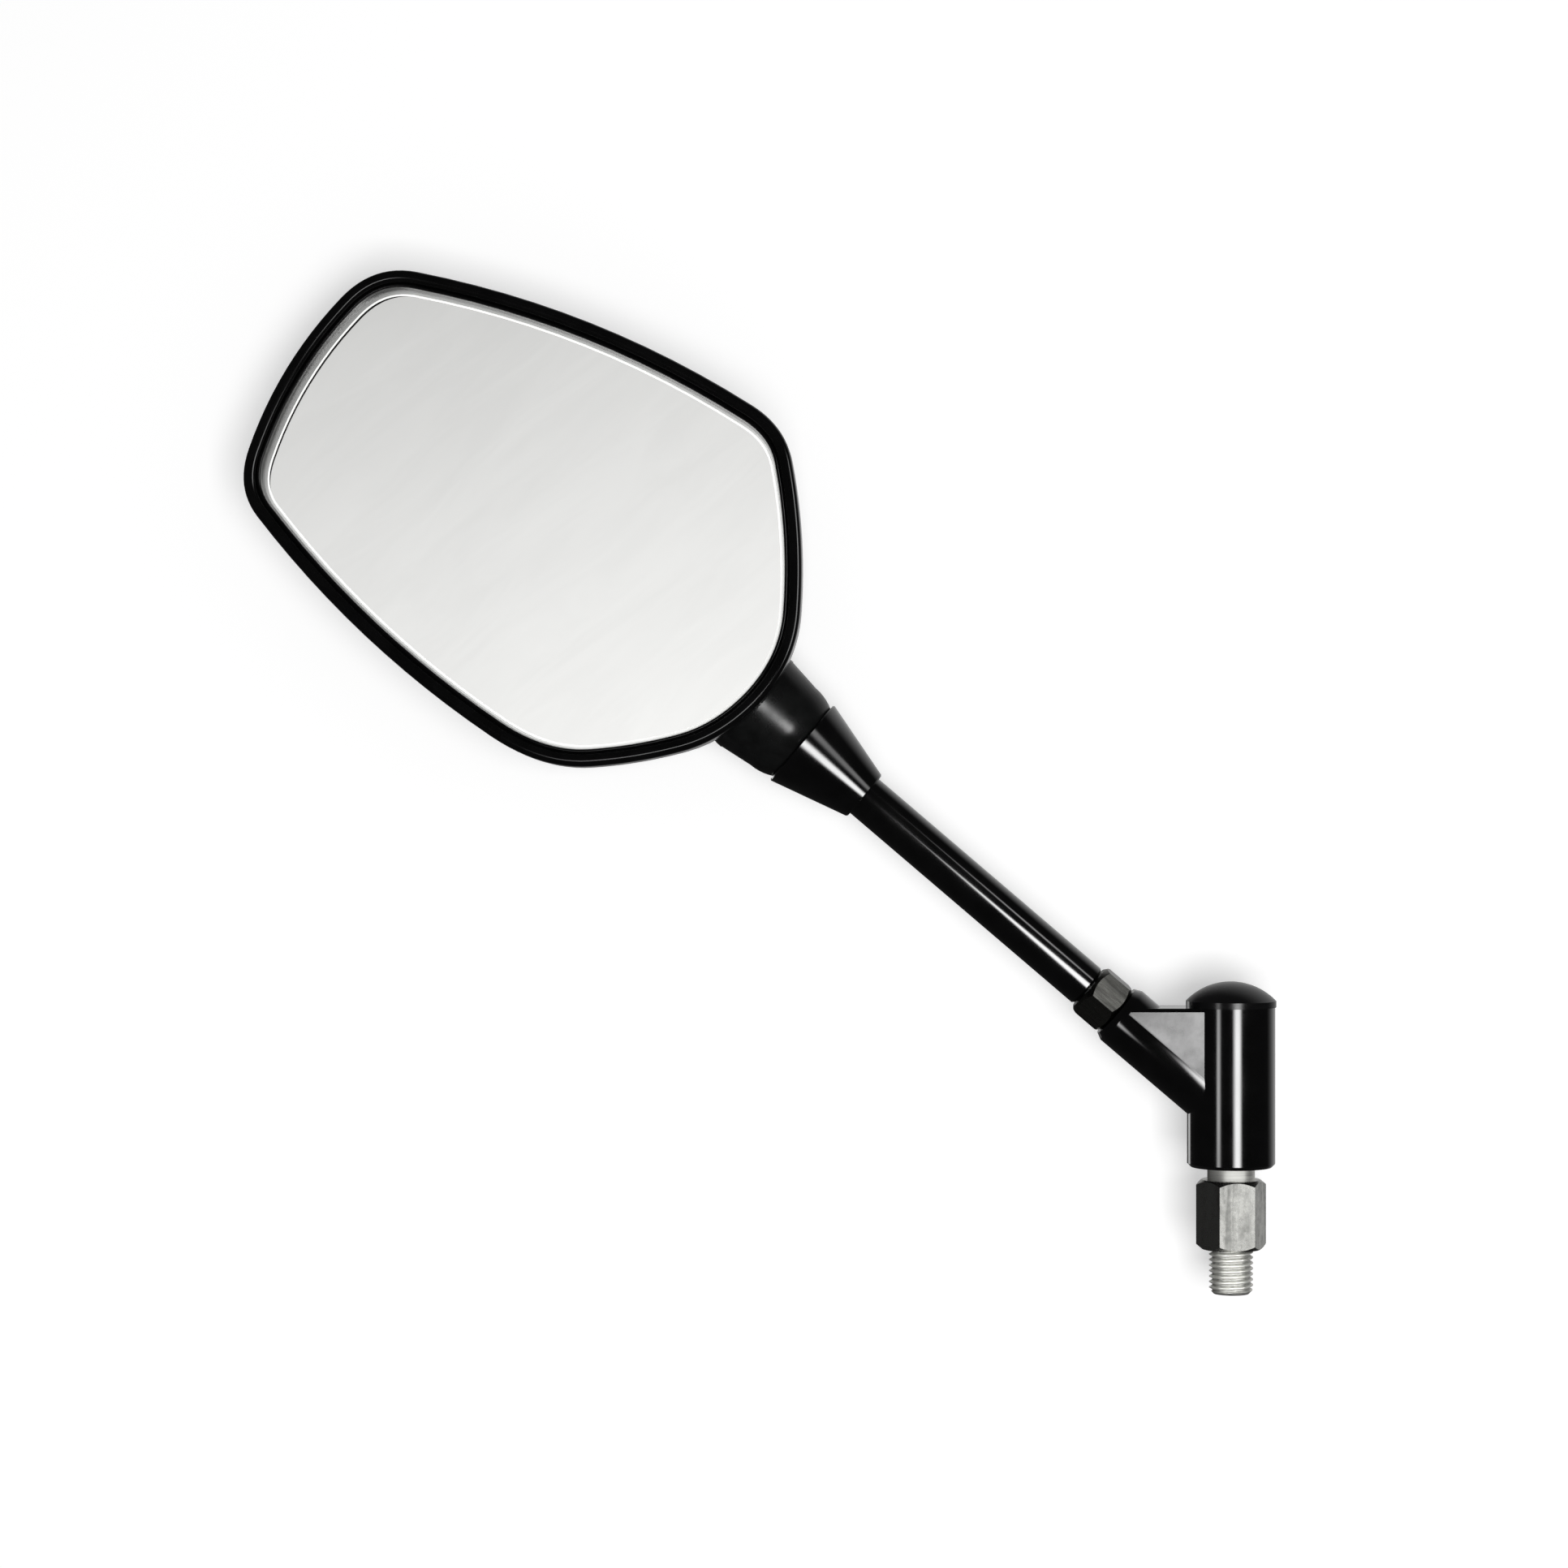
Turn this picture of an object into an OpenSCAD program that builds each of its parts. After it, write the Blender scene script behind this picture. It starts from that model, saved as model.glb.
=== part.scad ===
// Motorcycle mirror: a convex glass in a six-sided bowed housing, on a ball joint and a round stem,
// with a cast arm that swivels on a hexagonal stud.
// The stud stands along Z with its hex resting on Z = 0, and the glass faces -Y.

/* [Mounting stud] */
// Diameter of the threaded stud
stud_d = 10; // [8:0.5:12]
// Length of the thread below the hex
stud_len = 10.2; // [8:0.2:20]
// Distance across the flats of the stud hex
stud_hex_af = 14; // [13:0.5:17]
// Height of the stud hex
stud_hex_h = 15.8; // [12:0.1:24]
// Turn of the stud hex about its axis
stud_hex_turn = 4.5; // [0:0.5:59]
// Diameter of the bright shoulder that carries the arm
shoulder_d = 10.8; // [10.2:0.1:12]
// Height of shoulder seen between the hex and the arm
shoulder_show = 2.9; // [1:0.1:4]
// Depth that the shoulder enters the arm
shoulder_in = 5.1; // [4:0.1:7]
// Diameter of the pivot shaft inside the arm
pivot_d = 8; // [7:0.1:8.4]

/* [Pivot stack] */
// Distance across the flats of the pivot nut
pivot_nut_af = 12; // [11.6:0.1:12.4]
// Height of the hexagonal part of the pivot nut
pivot_nut_h = 6.2; // [5:0.1:7]
// Height of the round collar that holds the locking ring
nut_collar_h = 1.8; // [1.4:0.1:2.2]
// Thickness of the thrust washer under the lower bush
thrust_t = 1.2; // [0.8:0.1:2]
// Thickness of the friction washer and of the flat washer
washer_t = 1.5; // [1:0.1:1.8]
// Sheet thickness of one disc spring
disc_t = 0.9; // [0.6:0.1:1]
// Cone height of one disc spring
disc_rise = 0.45; // [0.3:0.05:0.6]
// Length of each pivot bush
bush_len = 6; // [4:0.5:7]
// Wall of each pivot bush
bush_wall = 0.85; // [0.6:0.05:1]

/* [Arm] */
// Outer diameter of the upright boss
boss_d = 20; // [19.6:0.1:24]
// Height of the upright boss
boss_h = 36.4; // [34:0.1:40]
// Depth of the pocket that holds the pivot stack
pocket_h = 14.6; // [14.2:0.1:16]
// Wall of the boss round that pocket
pocket_wall = 1.8; // [1.4:0.1:2]
// Outer diameter of the sloping arm tube
arm_d = 14.6; // [13:0.1:16]
// Length of the arm tube from the stud axis
arm_len = 34.5; // [32:0.5:44]
// Height of the sloping axis above the boss foot, on the stud axis
arm_rise = 13.1; // [11:0.1:15]
// Slope of the stem above level
stem_slope = 40.5; // [38:0.1:48]
// Width of the bevel round the edges of the casting
cast_bevel = 0.8; // [0.4:0.1:1.2]
// Depth of the threaded hole for the stem
stem_hole_h = 16.5; // [12:0.5:18]

/* [Dome cap] */
// Diameter of the rim of the cap
cap_d = 20.5; // [20:0.1:24]
// Height of the straight rim of the cap
cap_rim_h = 1.4; // [1.2:0.1:4]
// Height of the dome above its rim
cap_dome_h = 4.4; // [3:0.1:6]
// Wall of the cap
cap_wall = 0.9; // [0.7:0.05:1]
// Depth of the skirt inside the boss
cap_skirt_h = 4.6; // [3:0.1:6]

/* [Stem] */
// Diameter of the round stem
stem_d = 10.2; // [9:0.1:10.4]
// Diameter of the threaded end of the stem
stem_thread_d = 8; // [7:0.1:8.4]
// Distance across the flats of the lock nut
lock_nut_af = 12; // [11.5:0.1:14]
// Height of the lock nut
lock_nut_h = 8.2; // [5:0.1:9]
// Turn of the lock nut about the stem
lock_nut_turn = 23; // [0:1:59]
// Distance from the stud axis to the centre of the ball, along the stem
ball_dist = 134.2; // [125:0.1:160]
// Diameter of the ball
ball_d = 14; // [13.6:0.1:14.4]
// Diameter of the waist between the stem and the ball
waist_d = 7.5; // [6.5:0.1:7.6]

/* [Joint cover] */
// Diameter of the small end of the conical cover
cover_small_d = 12.4; // [12:0.1:14]
// Diameter of the mouth of the conical cover
cover_mouth_d = 22.4; // [22:0.1:24]
// Length of the conical cover
cover_len = 18.8; // [16:0.1:24]
// Distance from the mouth of the cover to the ball centre
cover_to_ball = 5.5; // [5.2:0.1:6]
// Wall of the conical cover
cover_wall = 1.2; // [0.8:0.1:1.4]

/* [Ball socket] */
// Outer diameter of the round end of the neck
neck_d = 23; // [22.6:0.1:23.4]
// Diameter of the neck where it meets the rim
neck_root_d = 25.4; // [24.6:0.1:26]
// Distance from the ball centre to the neck root
neck_len = 8.8; // [7:0.1:10]
// Thickness of the neck wall round the socket
neck_wall = 2.15; // [1.9:0.05:2.2]
// Largest lean of the head on the ball, all directions together
ball_lean = 18; // [10:1:18]
// Wire diameter of the clamp spring
spring_wire_d = 1.7; // [1.2:0.1:1.9]
// Mean diameter of the clamp spring
spring_d = 10.4; // [9.8:0.1:12]
// Pitch of the clamp spring
spring_pitch = 2.1; // [2:0.05:2.4]
// Turns of the clamp spring
spring_turns = 3; // [2:0.5:3]
// Diameter of the round middle of the retainer plate
plate_d = 16; // [15:0.1:16.4]
// Thickness of the retainer plate
retainer_t = 1.6; // [1:0.1:2.4]
// Distance of each retainer screw from the stem axis
screw_offset = 12.6; // [12.4:0.1:13]
// Diameter of the retainer screws
screw_d = 3.4; // [3:0.1:3.6]
// Length of the retainer screws below the plate
screw_len = 5; // [4:0.1:5.5]

/* [Head] */
// Width of the rim
rim_w = 126; // [120:0.5:134]
// Height of the rim
rim_h = 112; // [108:0.5:118]
// Distance from the ball centre to the front of the rim
rim_front = 21.5; // [21.3:0.1:26]
// Height of the rim trim from front to back
trim_h = 7.5; // [7:0.1:8]
// Distance from the ball centre to the back of the housing
housing_back = 19.5; // [18:0.5:30]
// Wall of the housing
housing_wall = 2.3; // [1.8:0.1:2.8]
// Turn of the head towards the far side of the stem
head_turn = 3; // [0:0.5:5]
// Upward lean of the head
head_lean = 3; // [0:0.5:5]

/* [Glass] */
// Thickness of the glass
glass_t = 2.6; // [2:0.1:3]
// Radius of the convex glass
glass_r = 1200; // [1000:50:2000]
// Distance from the ball centre to the crown of the glass
glass_crown = 17.2; // [17:0.1:18]
// Thickness of the foam ring behind the glass
foam_t = 1.2; // [0.8:0.1:1.3]

/* [Hidden] */

$fn = 96;
// Clearances between mating pieces, on the radius
run_gap = 0.05;
push_gap = 0.02;
free_gap = 0.35;
edge_bevel = 0.6;
eps = 0.01;
// How far the flat faces of the web lie inside the arm tube, and its end inside the end of the tube
web_in = 0.1;
web_end_in = 2;
// How far the end bevels of a nut start inside its flats, and their slope
stud_bevel_in = 0.3;
nut_bevel_in = 0.6;
nut_bevel_slope = 40;

// Levels of the pivot, from the hex upwards
boss_foot = stud_hex_h + shoulder_show;
boss_top = boss_foot + boss_h;
shoulder_top = boss_foot + shoulder_in;
thrust_top = shoulder_top + thrust_t;
pocket_floor = boss_top - pocket_h;
friction_top = pocket_floor + washer_t;
disc_pair_h = 2 * (disc_t + disc_rise);
disc_top = friction_top + disc_pair_h;
washer_top = disc_top + washer_t;
nut_hex_top = washer_top + pivot_nut_h;
nut_top = nut_hex_top + nut_collar_h;
stud_over_nut = 0.9;
stud_top = nut_top + stud_over_nut;

pivot_r = pivot_d / 2;
pocket_r = boss_d / 2 - pocket_wall;
bush_r = pivot_r + run_gap + bush_wall;
stack_washer_r = pocket_r - free_gap;
ring_t = 1.3;
// The round collar of the pivot nut lies inside its flats and has a thin wall
collar_in = 0.2;
collar_wall = 0.6;

// Places along the stem, from the stud axis
arm_z = boss_foot + arm_rise;
hole_end_gap = 0.5;
nut_to_stem = 0.2;
waist_clear = 1.5;
waist_slope = 1;
thread_start = arm_len - stem_hole_h + hole_end_gap;
nut_end = arm_len + lock_nut_h;
stem_start = nut_end + nut_to_stem;
cover_mouth = ball_dist - cover_to_ball;
cover_start = cover_mouth - cover_len;
neck_r = neck_d / 2;
waist_start = ball_dist - neck_r - waist_clear;
ball_pos = [-cos(stem_slope) * ball_dist, 0, arm_z + sin(stem_slope) * ball_dist];

// Shells round the ball, from the inside out
ball_r = ball_d / 2;
seat_in_r = ball_r + run_gap;
socket_r = neck_r - neck_wall;
seat_out_r = socket_r - run_gap;
seat_play = 0.3;
seat_mouth_r = stem_d / 2 + seat_play;
seat_top = 0.8;
cup_foot = 3;
// Half angle of the mouth of the neck, seen from the ball centre
lean_spare = 1;
mouth_angle = asin(waist_d / 2 / socket_r) + ball_lean + lean_spare;

// The spring rests on the round top of the pressure cup
spring_r = spring_d / 2;
wire_r = spring_wire_d / 2;
cup_to_wire = seat_out_r + wire_r + run_gap;
spring_start = sqrt(cup_to_wire * cup_to_wire - spring_r * spring_r);
spring_end = spring_start + spring_pitch * spring_turns;
retainer_z = spring_end + wire_r + run_gap;
post_r = 3.2;
rib_w = 3;
tube_in = 2;
ear_over_post = 0.4;
spigot_h = 2;
screw_head_r = 3.1;
screw_head_h = 2;
screw_head_bevel = 0.7;
slot_w = 0.9;
slot_depth = 1.2;
screw_end_gap = 0.3;

// Depths of the head, towards the viewer from the ball centre
trim_foot = rim_front - trim_h;
lip_down = 4.5;
lip_top = rim_front - lip_down;
cavity_front = 9;
shell_in = 0.2;
dome_power = 2.6;
dome_last = 86;
// The fairing of the neck ends in a ball behind the glass
fairing_back = 3.5;
fairing_len = 3.6 * neck_len;
fairing_end_r = 0.39 * neck_root_d;
crown = [-0.4 * rim_w, 0.36 * rim_h];
glass_centre = [-0.46 * rim_w, 0.42 * rim_h];

// Insets from the outside of the rim
skirt_in = 0.95;
skirt_edge = 0.3;
wall_in = 2.7;
trim_wall_in = 4.5;
glass_in = trim_wall_in + run_gap;
foam_in = 5.2;
ledge_in = 7.4;

// The trim shows a wide round bead, a fine groove and a narrow bead
outer_bead_w = 2.95;
outer_bead_h = 1.6;
inner_bead_w = 0.9;
inner_bead_h = 0.8;
groove_w = 0.05;
bead_foot = rim_front - outer_bead_h;

// The ground edge of the glass
grind_w = 0.55;
grind_h = 0.3;

// The rim: six corners as shares of its width and height from the ball centre,
// how far each corner's blend runs along its sides, and how far each side bows out
rim_corners = [[0.018, 0.6], [-0.736, 0.944], [-0.99, 0.471], [-0.435, -0.11], [-0.093, -0.047], [0.042, 0.145]];
corner_blends = [9, 12, 10, 13, 10, 8];
side_bows = [3.8, 2.2, 2.9, 0.5, 0.3, 1.1];
blend_steps = 6;
side_steps = 6;

function corner(i) = [rim_corners[i % 6][0] * rim_w, rim_corners[i % 6][1] * rim_h];
function unit(v) = v / norm(v);
function left_of(v) = [-v[1], v[0]];
function along(i) = unit(corner(i + 1) - corner(i));
function side_start(i) = corner(i) + corner_blends[i % 6] * along(i);
function side_end(i) = corner(i + 1) - corner_blends[(i + 1) % 6] * along(i);
function side_mid(i) = (side_start(i) + side_end(i)) / 2 - 2 * side_bows[i % 6] * left_of(along(i));
function bend(a, b, c, s) = (1 - s) * (1 - s) * a + 2 * s * (1 - s) * b + s * s * c;
function cross2(a, b) = a[0] * b[1] - a[1] * b[0];
// Where the line from a along u meets the line from b along v
function meet(a, u, b, v) = a + u * cross2(b - a, v) / cross2(u, v);
function blend_peak(i) = meet(side_end(i + 5), side_end(i + 5) - side_mid(i + 5),
    side_start(i), side_mid(i) - side_start(i));
rim_points = [for (i = [0:5]) each concat(
    [for (k = [0:blend_steps - 1]) bend(side_end(i + 5), blend_peak(i), side_start(i), k / blend_steps)],
    [for (k = [0:side_steps - 1]) bend(side_start(i), side_mid(i), side_end(i), k / side_steps)])];
stations = len(rim_points);

// Unit direction into the rim at each point
function inward(i) = left_of(unit(rim_points[(i + 1) % stations] - rim_points[(i + stations - 1) % stations]));
function inset(d) = [for (i = [0:stations - 1]) rim_points[i] + d * inward(i)];
// A point of the head: p across and up, n towards the viewer
function at(p, n) = [p[0], -n, p[1]];
// Height of the convex front of the glass at a point
function glass_front(p) = glass_crown - glass_r
    + sqrt(glass_r * glass_r - (p - glass_centre) * (p - glass_centre));

// A closed skin over rings of equal length, with a tip at each end
module skin(rings, front_tip, back_tip) {
    n = len(rings[0]);
    m = len(rings);
    points = concat([for (ring = rings) each ring], [front_tip, back_tip]);
    sides = [for (i = [0:m - 2], j = [0:n - 1]) let (k = (j + 1) % n) each [
        [i * n + j, i * n + k, (i + 1) * n + k],
        [i * n + j, (i + 1) * n + k, (i + 1) * n + j]]];
    front = [for (j = [0:n - 1]) [n * m, (j + 1) % n, j]];
    back = [for (j = [0:n - 1]) [n * m + 1, (m - 1) * n + j, (m - 1) * n + (j + 1) % n]];
    polyhedron(points = points, faces = concat(sides, front, back), convexity = 8);
}

// A section swept round the rim: section(i) gives the points [inset, height] at station i
module rim_sweep(sections) {
    n = len(sections[0]);
    points = [for (i = [0:stations - 1], s = sections[i]) at(rim_points[i] + s[0] * inward(i), s[1])];
    faces = [for (i = [0:stations - 1], j = [0:n - 1])
        let (a = i * n, b = ((i + 1) % stations) * n, k = (j + 1) % n) each [
            [a + j, b + j, b + k],
            [a + j, b + k, a + k]]];
    polyhedron(points = points, faces = faces, convexity = 8);
}

// Rings of a surface that follows the glass, a set depth behind its front, from edge to centre
glass_rings = 4;
function glass_ring(edge, share, depth) = [for (p = edge)
    let (q = glass_centre + share * (p - glass_centre)) at(q, glass_front(q) - depth)];

// The glass: its front stops short of the edge, which is ground to a narrow bevel
module glass_plate() {
    edge = inset(glass_in);
    silvered = inset(glass_in + grind_w);
    front = [for (k = [1:glass_rings]) glass_ring(silvered, k / glass_rings, 0)];
    back = [for (k = [glass_rings:-1:1]) glass_ring(edge, k / glass_rings, glass_t)];
    skin(concat(front, [glass_ring(edge, 1, grind_h)], back),
        at(glass_centre, glass_crown), at(glass_centre, glass_crown - glass_t));
}

// A domed shape behind a plane: the outline shrinks towards the crown as it goes back
dome_rings = 10;
function dome_angle(k) = dome_last * k / (dome_rings - 1);
function dome_ring(edge, front, depth, k) = [for (p = edge)
    at(crown + pow(cos(dome_angle(k)), 2 / dome_power) * (p - crown),
        front - depth * pow(sin(dome_angle(k)), 2 / dome_power))];
module dome(d, front, depth) {
    edge = inset(d);
    skin([for (k = [0:dome_rings - 1]) dome_ring(edge, front, depth, k)],
        at(crown, front), at(crown, front - depth));
}

module in_head() {
    translate(ball_pos)
        rotate([-head_lean, 0, -head_turn])
            children();
}

module on_stem(t) {
    translate([0, 0, arm_z])
        rotate([0, stem_slope - 90, 0])
            translate([0, 0, t])
                children();
}

// A hexagonal prism with both ends bevelled, as turned nuts are
module nut_body(af, h, bevel_in) {
    corner_r = af / 2 / cos(30);
    end_r = af / 2 - bevel_in;
    bevel_h = (corner_r - end_r) * tan(nut_bevel_slope);
    intersection() {
        cylinder(r = corner_r, h = h, $fn = 6);
        rotate_extrude()
            polygon([[0, 0], [end_r, 0], [corner_r, bevel_h], [corner_r, h - bevel_h], [end_r, h], [0, h]]);
    }
}

module ring(outer, inner, h) {
    difference() {
        cylinder(r = outer, h = h);
        translate([0, 0, -1])
            cylinder(r = inner, h = h + 2);
    }
}

module pivot_stud() {
    color([0.72, 0.72, 0.7]) {
        rotate([0, 0, -90 + stud_hex_turn + 30])
            nut_body(stud_hex_af, stud_hex_h, stud_bevel_in);
        rotate_extrude()
            polygon([[0, -stud_len], [stud_d / 2 - 1, -stud_len], [stud_d / 2, 1 - stud_len],
                [stud_d / 2, 0], [stud_d / 2, eps], [0, eps]]);
        translate([0, 0, stud_hex_h - eps])
            cylinder(r = shoulder_d / 2, h = shoulder_top - stud_hex_h + eps);
        rotate_extrude()
            polygon([[0, shoulder_top - eps], [pivot_r, shoulder_top - eps], [pivot_r, stud_top - edge_bevel],
                [pivot_r - edge_bevel, stud_top], [0, stud_top]]);
    }
}

module thrust_washer() {
    color([0.7, 0.6, 0.35])
        translate([0, 0, shoulder_top])
            ring(shoulder_d / 2, pivot_r + run_gap, thrust_t);
}

module pivot_bush(z) {
    color([0.68, 0.55, 0.3])
        translate([0, 0, z])
            ring(bush_r, pivot_r + run_gap, bush_len);
}

module lower_bush() {
    pivot_bush(thrust_top);
}

module upper_bush() {
    pivot_bush(pocket_floor - bush_len);
}

module friction_washer() {
    color([0.55, 0.55, 0.56])
        translate([0, 0, pocket_floor])
            ring(stack_washer_r, pivot_r + run_gap, washer_t);
}

// Two disc springs, rim to rim
module disc_springs() {
    disc_in_r = pivot_r + run_gap;
    profile = [[disc_in_r, 0], [stack_washer_r, disc_rise], [stack_washer_r, disc_rise + disc_t],
        [disc_in_r, disc_t]];
    color([0.45, 0.47, 0.5]) {
        translate([0, 0, friction_top])
            rotate_extrude()
                polygon(profile);
        translate([0, 0, disc_top])
            mirror([0, 0, 1])
                rotate_extrude()
                    polygon(profile);
    }
}

module flat_washer() {
    color([0.75, 0.75, 0.76])
        translate([0, 0, disc_top])
            ring(stack_washer_r, pivot_r + run_gap, washer_t);
}

module pivot_nut() {
    collar_r = pivot_nut_af / 2 - collar_in;
    color([0.78, 0.78, 0.76])
        translate([0, 0, washer_top])
            difference() {
                union() {
                    nut_body(pivot_nut_af, pivot_nut_h, stud_bevel_in);
                    translate([0, 0, pivot_nut_h - eps])
                        cylinder(r = collar_r, h = nut_collar_h + eps);
                }
                translate([0, 0, -1])
                    cylinder(r = pivot_r + push_gap, h = pivot_nut_h + nut_collar_h + 2);
                translate([0, 0, pivot_nut_h + nut_collar_h - ring_t])
                    cylinder(r = collar_r - collar_wall, h = ring_t + 1);
            }
}

module locking_ring() {
    color([0.15, 0.35, 0.7])
        translate([0, 0, nut_top - ring_t])
            ring(pivot_nut_af / 2 - collar_in - collar_wall - push_gap, pivot_r + push_gap, ring_t);
}

// Side view of the flat web between the boss and the arm tube
module web_side() {
    reach = arm_len - web_end_in;
    foot = [-cos(stem_slope) * reach, arm_z + sin(stem_slope) * reach];
    rise = boss_top - foot[1];
    polygon([[0, arm_z], [0, boss_top], [foot[0] + rise * tan(stem_slope), boss_top], foot]);
}

module web() {
    half = arm_d / 2 - web_in;
    intersection() {
        rotate([90, 0, 0])
            linear_extrude(height = 2 * half, center = true)
                web_side();
        translate([-arm_len, 0, 0])
            rotate([90, 0, 90])
                linear_extrude(height = arm_len)
                    polygon([[-half, arm_z], [half, arm_z], [half, boss_top - cast_bevel],
                        [half - cast_bevel, boss_top], [cast_bevel - half, boss_top],
                        [-half, boss_top - cast_bevel]]);
    }
}

module base_arm() {
    boss_r = boss_d / 2;
    arm_r = arm_d / 2;
    color([0.08, 0.08, 0.08])
        difference() {
            union() {
                rotate_extrude()
                    polygon([[0, boss_foot], [boss_r - cast_bevel, boss_foot], [boss_r, boss_foot + cast_bevel],
                        [boss_r, boss_top], [0, boss_top]]);
                on_stem(0)
                    rotate_extrude()
                        polygon([[0, 0], [arm_r, 0], [arm_r, arm_len - 2 * cast_bevel],
                            [arm_r - cast_bevel, arm_len], [0, arm_len]]);
                web();
            }
            translate([0, 0, boss_foot - 1])
                cylinder(r = shoulder_d / 2 + run_gap, h = thrust_top - boss_foot + 1);
            translate([0, 0, boss_foot])
                cylinder(r = bush_r + push_gap, h = boss_h);
            translate([0, 0, pocket_floor])
                cylinder(r = pocket_r, h = pocket_h + 1);
            on_stem(arm_len - stem_hole_h)
                cylinder(r = stem_thread_d / 2 + push_gap, h = stem_hole_h + 1);
        }
}

module dome_cap() {
    cap_r = cap_d / 2;
    dome_r = (cap_r * cap_r + cap_dome_h * cap_dome_h) / (2 * cap_dome_h);
    dome_z = boss_top + cap_rim_h + cap_dome_h - dome_r;
    skirt_r = pocket_r - run_gap;
    crown_wall = 2 * cap_wall;
    color([0.12, 0.12, 0.12])
        difference() {
            union() {
                translate([0, 0, boss_top - cap_skirt_h])
                    cylinder(r = skirt_r, h = cap_skirt_h + 1);
                intersection() {
                    translate([0, 0, dome_z])
                        sphere(r = dome_r, $fn = 192);
                    translate([0, 0, boss_top])
                        cylinder(r = cap_r, h = cap_rim_h + cap_dome_h + 1);
                }
            }
            intersection() {
                translate([0, 0, dome_z])
                    sphere(r = dome_r - crown_wall, $fn = 192);
                translate([0, 0, boss_top - cap_skirt_h - 1])
                    cylinder(r = skirt_r - cap_wall, h = cap_skirt_h + cap_rim_h + cap_dome_h + 1);
            }
        }
}

module lock_nut() {
    color([0.25, 0.25, 0.24])
        on_stem(arm_len)
            rotate([0, 0, -90 + lock_nut_turn + 30])
                difference() {
                    nut_body(lock_nut_af, lock_nut_h, nut_bevel_in);
                    translate([0, 0, -1])
                        cylinder(r = stem_thread_d / 2 + push_gap, h = lock_nut_h + 2);
                }
}

module stem() {
    thread_r = stem_thread_d / 2;
    stem_r = stem_d / 2;
    waist_r = waist_d / 2;
    color([0.06, 0.06, 0.06])
        on_stem(0) {
            rotate_extrude()
                polygon([[0, thread_start], [thread_r - edge_bevel, thread_start],
                    [thread_r, thread_start + edge_bevel], [thread_r, stem_start],
                    [stem_r - edge_bevel, stem_start], [stem_r, stem_start + edge_bevel],
                    [stem_r, waist_start - waist_slope], [waist_r, waist_start], [waist_r, ball_dist], [0, ball_dist]]);
            translate([0, 0, ball_dist])
                sphere(r = ball_r);
        }
}

// Conical cover, hollowed to a ball-shaped mouth that the neck turns in
module joint_cover() {
    small_r = cover_small_d / 2;
    mouth_r = cover_mouth_d / 2;
    bore_r = stem_d / 2 + run_gap;
    grip = 4;
    lip = 0.3;
    color([0.05, 0.05, 0.05])
        on_stem(cover_start)
            difference() {
                rotate_extrude()
                    polygon([[0, 0], [small_r - lip, 0], [small_r, lip], [mouth_r, cover_len - lip],
                        [mouth_r - lip, cover_len], [0, cover_len]]);
                translate([0, 0, -1])
                    cylinder(r = bore_r, h = cover_len + 2);
                translate([0, 0, grip])
                    cylinder(r1 = bore_r, r2 = mouth_r - 2 * cover_wall, h = cover_len - grip + eps);
                translate([0, 0, cover_len + cover_to_ball])
                    sphere(r = neck_r + free_gap);
            }
}

module ball_seat() {
    color([0.9, 0.9, 0.86])
        on_stem(ball_dist)
            difference() {
                sphere(r = seat_out_r);
                sphere(r = seat_in_r);
                translate([0, 0, -neck_r])
                    cylinder(r = seat_mouth_r, h = neck_r);
                translate([0, 0, seat_top])
                    cylinder(r = neck_r, h = neck_r);
            }
}

module pressure_cup() {
    color([0.85, 0.85, 0.8])
        on_stem(ball_dist)
            difference() {
                sphere(r = seat_out_r - run_gap);
                sphere(r = seat_in_r);
                translate([0, 0, cup_foot - 2 * neck_r])
                    cylinder(r = neck_r, h = 2 * neck_r);
            }
}

// A round wire wound on a helix
wire_sides = 8;
turn_steps = 20;
module clamp_spring() {
    steps = round(spring_turns * turn_steps);
    rise = atan(spring_pitch / (2 * PI * spring_r));
    rings = [for (i = [0:steps]) let (a = 360 * i / turn_steps, z = spring_pitch * i / turn_steps)
        [for (j = [0:wire_sides - 1]) let (b = -360 * j / wire_sides)
            [(spring_r + wire_r * cos(b)) * cos(a) + wire_r * sin(b) * sin(rise) * sin(a),
                (spring_r + wire_r * cos(b)) * sin(a) - wire_r * sin(b) * sin(rise) * cos(a),
                z + wire_r * sin(b) * cos(rise)]]];
    color([0.6, 0.6, 0.62])
        on_stem(ball_dist + spring_start)
            skin(rings, [spring_r, 0, 0],
                [spring_r * cos(360 * spring_turns), spring_r * sin(360 * spring_turns), spring_pitch * spring_turns]);
}

// Steel plate that closes the socket, with a spigot for the spring and two screw holes
module retainer_plate() {
    ear_r = post_r + ear_over_post;
    spigot_r = spring_r - wire_r - free_gap;
    color([0.7, 0.7, 0.72])
        on_stem(ball_dist + retainer_z)
            difference() {
                union() {
                    cylinder(r = plate_d / 2, h = retainer_t);
                    translate([-screw_offset, -ear_r, 0])
                        cube([2 * screw_offset, 2 * ear_r, retainer_t]);
                    for (side = [-1, 1])
                        translate([side * screw_offset, 0, 0])
                            cylinder(r = ear_r, h = retainer_t);
                    translate([0, 0, -spigot_h])
                        cylinder(r = spigot_r, h = spigot_h + eps);
                }
                for (side = [-1, 1])
                    translate([side * screw_offset, 0, -1])
                        cylinder(r = screw_d / 2 + push_gap, h = retainer_t + 2);
            }
}

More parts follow.
